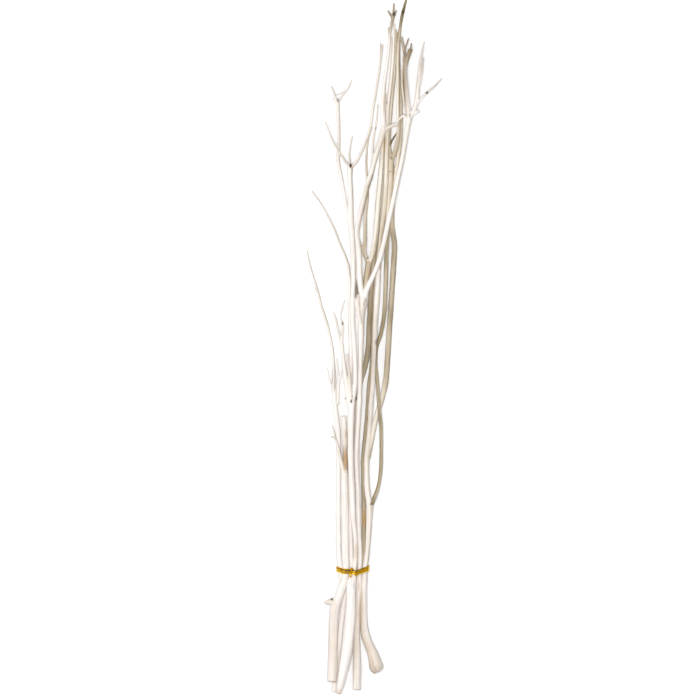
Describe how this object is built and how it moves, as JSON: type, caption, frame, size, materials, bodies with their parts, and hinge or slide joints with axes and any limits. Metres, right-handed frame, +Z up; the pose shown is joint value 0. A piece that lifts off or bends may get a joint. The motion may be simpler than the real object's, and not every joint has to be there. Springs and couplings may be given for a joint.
{
  "type": "bundle of twigs",
  "caption": "A tied bunch of tall bleached forked twigs with cut butts and fine tips, bound low down with a gold wire, lying on its side",
  "frame": {"origin": "under the middle of the bundle, on the surface it lies on", "axes": "+Y runs along the twigs from the cut butts to the tips, +Z is up from the surface, +X is to the right when looking down with the tips away"},
  "size_m": [0.195, 1.0038, 0.0271],
  "materials": {
    "bleached_wood": "bleached peeled wood, dry and matt with long fine grain",
    "shaded_wood": "peeled wood left browner and duller, dry and matt",
    "gold_wire": "thin gold wire, shiny"
  },
  "bodies": {
    "root": {"wire_tie": "gold_wire", "left_butt": "bleached_wood", "inner_stem": "bleached_wood", "inner_cut_arm": "bleached_wood", "inner_hooked_twig": "bleached_wood", "left_arm": "bleached_wood", "left_long_twig": "bleached_wood", "middle_butt": "bleached_wood", "middle_high_arm": "bleached_wood", "middle_low_arm": "bleached_wood", "slanting_twig": "bleached_wood", "left_fork": "bleached_wood", "left_fork_outer_tip": "bleached_wood", "left_fork_inner_tip": "bleached_wood", "middle_spur": "bleached_wood", "upright": "bleached_wood", "upright_left": "bleached_wood", "upright_right": "bleached_wood", "crossing_twig": "bleached_wood", "long_bowed_twig": "bleached_wood", "centre_butt": "bleached_wood", "centre_stem": "bleached_wood", "shaded_stem": "shaded_wood", "shaded_stem_upper": "shaded_wood", "centre_arm": "bleached_wood", "crown_left": "bleached_wood", "crown_left_top": "bleached_wood", "crown_left_tip": "bleached_wood", "crown_middle": "shaded_wood", "crown_middle_left": "shaded_wood", "crown_middle_right": "shaded_wood", "crown_right": "bleached_wood", "crown_right_left_arm": "bleached_wood", "crown_right_cut_arm": "bleached_wood", "crown_right_outer_arm": "bleached_wood", "far_right_twig": "bleached_wood", "right_butt": "bleached_wood", "right_upright": "bleached_wood", "right_upright_top": "shaded_wood", "bowed_arm": "shaded_wood", "bowed_arm_top": "shaded_wood", "dark_fork_left": "shaded_wood", "dark_fork_right": "shaded_wood", "outer_arm": "shaded_wood", "outer_arm_top": "shaded_wood", "rear_butt": "bleached_wood", "rear_stem": "shaded_wood", "rear_stem_upper": "shaded_wood"}
  },
  "joints": []
}
